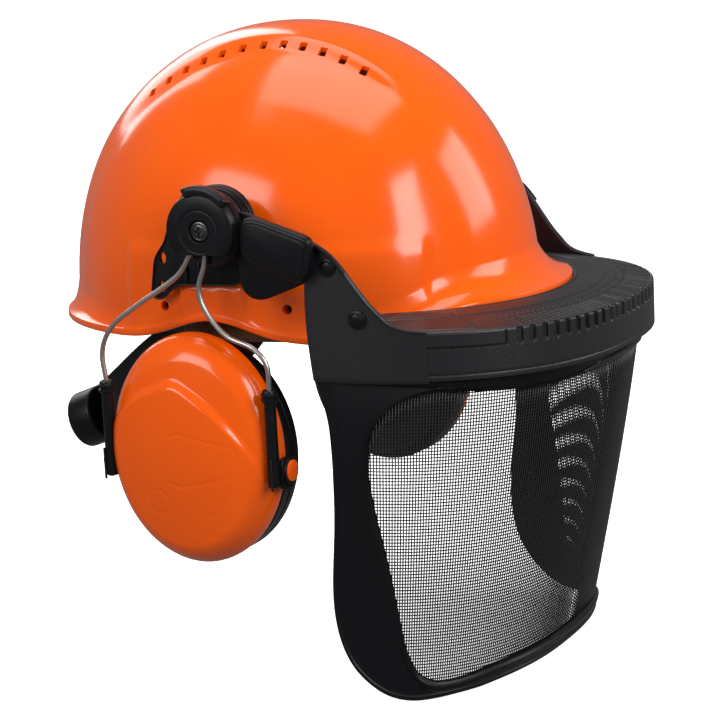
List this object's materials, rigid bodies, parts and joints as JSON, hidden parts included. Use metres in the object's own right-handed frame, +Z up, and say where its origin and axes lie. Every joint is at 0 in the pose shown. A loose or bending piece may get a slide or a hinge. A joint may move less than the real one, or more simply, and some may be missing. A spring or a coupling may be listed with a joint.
{
  "type": "forestry hard hat",
  "caption": "Vented hard hat with suspension harness, lifting brow guard and mesh visor, and wire-arm ear muffs.",
  "frame": {"origin": "centre of the head opening at headband height, on the middle plane", "axes": "+X to the wearer's left, -Y forward through the peak, +Z up through the crown"},
  "size_m": [0.265, 0.3263, 0.3291],
  "materials": {
    "orange_plastic": "glossy moulded orange shell plastic",
    "black_plastic": "satin black moulded plastic with a fine texture",
    "tan_leather": "soft perforated sweatband leather",
    "grey_webbing": "woven strap",
    "cushion_skin": "black foil skin over foam",
    "grey_foam": "open-cell foam",
    "wire_mesh": "black painted woven wire",
    "spring_steel": "bright drawn wire",
    "dark_screw": "dark zinc screw"
  },
  "bodies": {
    "helmet": {"shell": "orange_plastic", "headband": "black_plastic", "sweatband": "tan_leather", "suspension_clip_front": "black_plastic", "suspension_clip_front_left": "black_plastic", "suspension_clip_rear_left": "black_plastic", "suspension_clip_rear": "black_plastic", "suspension_clip_rear_right": "black_plastic", "suspension_clip_front_right": "black_plastic", "crown_strap_centre": "grey_webbing", "crown_strap_left": "grey_webbing", "crown_strap_right": "grey_webbing", "adapter_plate_right": "black_plastic", "adapter_plate_left": "black_plastic", "hub_base_right": "black_plastic", "hub_base_left": "black_plastic"},
    "nape": {"nape_band": "black_plastic", "ratchet_housing": "black_plastic"},
    "ratchet": {"ratchet_knob": "black_plastic"},
    "visor": {"brow_guard": "black_plastic", "visor_frame": "black_plastic", "visor_mesh": "wire_mesh", "visor_arm_right": "black_plastic", "arm_cover_right": "black_plastic", "guard_rivet_upper_right": "black_plastic", "guard_rivet_lower_right": "black_plastic", "visor_arm_left": "black_plastic", "arm_cover_left": "black_plastic", "guard_rivet_upper_left": "black_plastic", "guard_rivet_lower_left": "black_plastic"},
    "muff_hub_right": {"muff_carrier_right": "black_plastic", "hub_cap_right": "black_plastic", "hub_screw_right": "dark_screw"},
    "muff_arm_right": {"wire_arm_right": "spring_steel"},
    "muff_sleeves_right": {"sleeve_front_right": "black_plastic", "sleeve_rear_right": "black_plastic"},
    "muff_cup_right": {"cup_shell_right": "orange_plastic", "cup_back_plate_right": "black_plastic", "ear_cushion_right": "cushion_skin", "foam_insert_right": "grey_foam", "pivot_button_front_right": "orange_plastic", "pivot_button_rear_right": "orange_plastic"},
    "muff_hub_left": {"muff_carrier_left": "black_plastic", "hub_cap_left": "black_plastic", "hub_screw_left": "dark_screw"},
    "muff_arm_left": {"wire_arm_left": "spring_steel"},
    "muff_sleeves_left": {"sleeve_front_left": "black_plastic", "sleeve_rear_left": "black_plastic"},
    "muff_cup_left": {"cup_shell_left": "orange_plastic", "cup_back_plate_left": "black_plastic", "ear_cushion_left": "cushion_skin", "foam_insert_left": "grey_foam", "pivot_button_front_left": "orange_plastic", "pivot_button_rear_left": "orange_plastic"}
  },
  "joints": [
    {"name": "visor_lift", "type": "hinge", "parent": "helmet", "child": "visor", "pos_m": [0, 0.001, 0.0515], "axis": [-1, 0, 0], "range_deg": [0, 90]},
    {"name": "nape_adjust", "type": "slide", "parent": "helmet", "child": "nape", "axis": [0, 1, 0], "range_m": [-0.018, 0.003]},
    {"name": "ratchet_turn", "type": "hinge", "parent": "nape", "child": "ratchet", "pos_m": [0, 0.128, -0.068], "axis": [0, 0.9397, -0.342], "range_deg": [-172, 29]},
    {"name": "muff_turn_right", "type": "hinge", "parent": "helmet", "child": "muff_hub_right", "pos_m": [-0.1239, 0.001, 0.0515], "axis": [1, 0, 0], "range_deg": [-8, 6]},
    {"name": "muff_open_right", "type": "hinge", "parent": "muff_hub_right", "child": "muff_arm_right", "pos_m": [-0.1239, 0.007, 0.041], "axis": [0, 1, 0], "range_deg": [0, 35]},
    {"name": "cup_height_right", "type": "slide", "parent": "muff_arm_right", "child": "muff_sleeves_right", "axis": [0, 0, -1], "range_m": [0, 0.025]},
    {"name": "cup_tilt_right", "type": "hinge", "parent": "muff_sleeves_right", "child": "muff_cup_right", "pos_m": [-0.1145, 0.019, -0.068], "axis": [0, 1, 0], "range_deg": [-6, 6]},
    {"name": "muff_turn_left", "type": "hinge", "parent": "helmet", "child": "muff_hub_left", "pos_m": [0.1239, 0.001, 0.0515], "axis": [1, 0, 0], "range_deg": [-8, 6]},
    {"name": "muff_open_left", "type": "hinge", "parent": "muff_hub_left", "child": "muff_arm_left", "pos_m": [0.1239, 0.007, 0.041], "axis": [0, -1, 0], "range_deg": [0, 35]},
    {"name": "cup_height_left", "type": "slide", "parent": "muff_arm_left", "child": "muff_sleeves_left", "axis": [0, 0, -1], "range_m": [0, 0.025]},
    {"name": "cup_tilt_left", "type": "hinge", "parent": "muff_sleeves_left", "child": "muff_cup_left", "pos_m": [0.1145, 0.019, -0.068], "axis": [0, -1, 0], "range_deg": [-6, 6]}
  ],
  "couplings": [
    {"joint": "ratchet_turn", "follows": "nape_adjust", "rad_per_m": 166}
  ]
}
